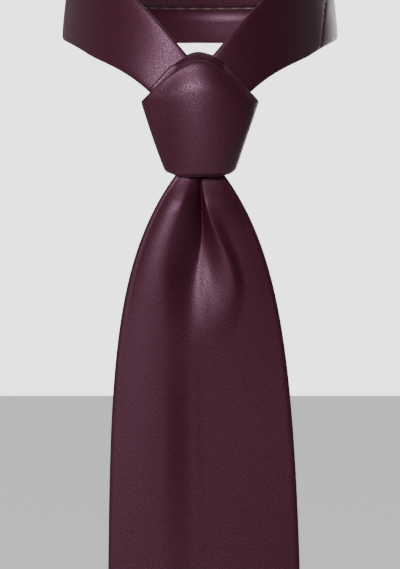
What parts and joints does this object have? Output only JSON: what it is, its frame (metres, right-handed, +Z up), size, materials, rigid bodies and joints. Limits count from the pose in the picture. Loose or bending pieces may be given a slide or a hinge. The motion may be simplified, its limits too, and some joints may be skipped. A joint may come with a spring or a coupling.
{
  "type": "necktie",
  "caption": "Necktie tied in a four-in-hand knot: neck loop, knot with a dimple, wide blade, narrow tail held by a keeper loop.",
  "frame": {"origin": "centre of the neck opening, level with the top of the knot", "axes": "+Z up, the front of the tie faces -Y, +X to the right as seen from the front"},
  "size_m": [0.1286, 0.1601, 0.5668],
  "materials": {
    "burgundy_satin": "satin",
    "wool_interlining": "matte",
    "tipping_lining": "satin",
    "sewing_thread": "matte",
    "woven_label": "satin",
    "care_tape": "satin"
  },
  "bodies": {
    "neck_loop": {"neck_band": "burgundy_satin", "neck_interlining": "wool_interlining", "blade_side_arm": "burgundy_satin", "tail_side_arm": "burgundy_satin", "piecing_seam_left": "sewing_thread", "piecing_seam_right": "sewing_thread", "blade_side_strap": "burgundy_satin", "tail_side_strap": "burgundy_satin"},
    "knot": {"knot_front_wrap": "burgundy_satin", "knot_rear_wrap": "burgundy_satin", "knot_over_pass": "burgundy_satin", "knot_strap_crossing": "burgundy_satin", "knot_first_cross": "burgundy_satin", "knot_tail_pass": "burgundy_satin"},
    "throat": {"blade_throat": "burgundy_satin"},
    "blade": {"blade_pleat": "burgundy_satin", "blade_envelope": "burgundy_satin", "blade_interlining": "wool_interlining", "blade_tipping": "tipping_lining", "blade_slip_stitch": "sewing_thread", "blade_bar_tack": "sewing_thread", "keeper_loop": "burgundy_satin", "blank_label": "woven_label", "care_tag": "care_tape", "tail_head": "burgundy_satin"},
    "tail": {"tail_envelope": "burgundy_satin", "tail_interlining": "wool_interlining", "tail_tipping": "tipping_lining", "tail_slip_stitch": "sewing_thread", "tail_bar_tack": "sewing_thread"}
  },
  "joints": [
    {"name": "knot_slide", "type": "slide", "parent": "neck_loop", "child": "knot", "axis": [0, 0, -1], "range_m": [0, 0.075], "deforming": ["blade_side_strap", "tail_side_strap"]},
    {"name": "blade_sway", "type": "hinge", "parent": "knot", "child": "throat", "pos_m": [0, -0.08025, -0.054], "axis": [0, 1, 0], "range_deg": [-12, 12]},
    {"name": "blade_swing", "type": "hinge", "parent": "throat", "child": "blade", "pos_m": [0, -0.08025, -0.062], "axis": [-1, 0, 0], "range_deg": [-40, 75]},
    {"name": "tail_draw", "type": "slide", "parent": "blade", "child": "tail", "axis": [0, 0, 1], "range_m": [0, 0.15], "deforming": ["tail_head"]}
  ],
  "couplings": [
    {"joint": "tail_draw", "follows": "knot_slide", "ratio": 2}
  ]
}
